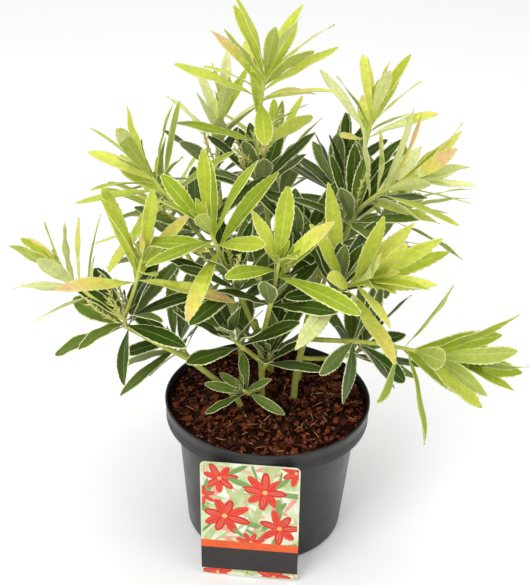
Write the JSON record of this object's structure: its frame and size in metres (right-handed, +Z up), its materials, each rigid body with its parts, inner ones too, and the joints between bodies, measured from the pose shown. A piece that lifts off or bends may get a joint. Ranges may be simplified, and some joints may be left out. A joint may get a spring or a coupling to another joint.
{
  "type": "potted pieris",
  "caption": "Young evergreen shrub with whorls of narrow, cream-edged leaves on slender stems, in a round tapering nursery pot with a card hung on its collar.",
  "frame": {"origin": "centre of the pot's flat underside", "axes": "+Z up along the pot's axis, -Y towards the side that carries the card"},
  "size_m": [0.3846, 0.3357, 0.4435],
  "materials": {
    "pot_plastic": "dark grey moulded plastic, satin",
    "compost": "reddish brown bark chips",
    "card": "printed card, satin",
    "stem": "olive green bark",
    "bough": "yellow green young bark",
    "foliage": "leathery leaves with a cream edge"
  },
  "bodies": {
    "root": {"pot": "pot_plastic", "compost": "compost", "picture_card": "card", "left_stem": "stem", "centre_stem": "stem", "right_stem": "stem", "back_left_stem": "stem", "back_right_stem": "stem", "rear_stem": "stem", "left_bough": "bough", "left_low_bough": "bough", "front_left_bough": "bough", "front_bough": "bough", "front_low_bough": "bough", "low_centre_bough": "bough", "low_front_bough": "bough", "lower_right_bough": "bough", "right_low_bough": "bough", "right_mid_bough": "bough", "centre_bough": "bough", "upper_left_bough": "bough", "behind_left_bough": "bough", "back_left_bough": "bough", "top_bough": "bough", "back_bough": "bough", "back_low_left_bough": "bough", "rear_low_bough": "bough", "upper_right_bough": "bough", "right_bough": "bough", "behind_right_bough": "bough", "back_right_bough": "bough", "back_low_right_bough": "bough", "front_left_mass": "foliage", "front_mass": "foliage", "left_spray": "foliage", "lower_right_mass": "foliage", "right_mid_mass": "foliage", "top_mass": "foliage", "upper_left_mass": "foliage", "right_mass": "foliage", "upper_right_mass": "foliage", "front_low_mass": "foliage", "left_low_mass": "foliage", "right_low_mass": "foliage", "low_front_mass": "foliage", "low_centre_mass": "foliage", "centre_mass": "foliage", "behind_left_mass": "foliage", "behind_right_mass": "foliage", "back_mass": "foliage", "back_left_mass": "foliage", "back_right_mass": "foliage", "back_low_left_mass": "foliage", "back_low_right_mass": "foliage", "rear_low_mass": "foliage"}
  },
  "joints": []
}
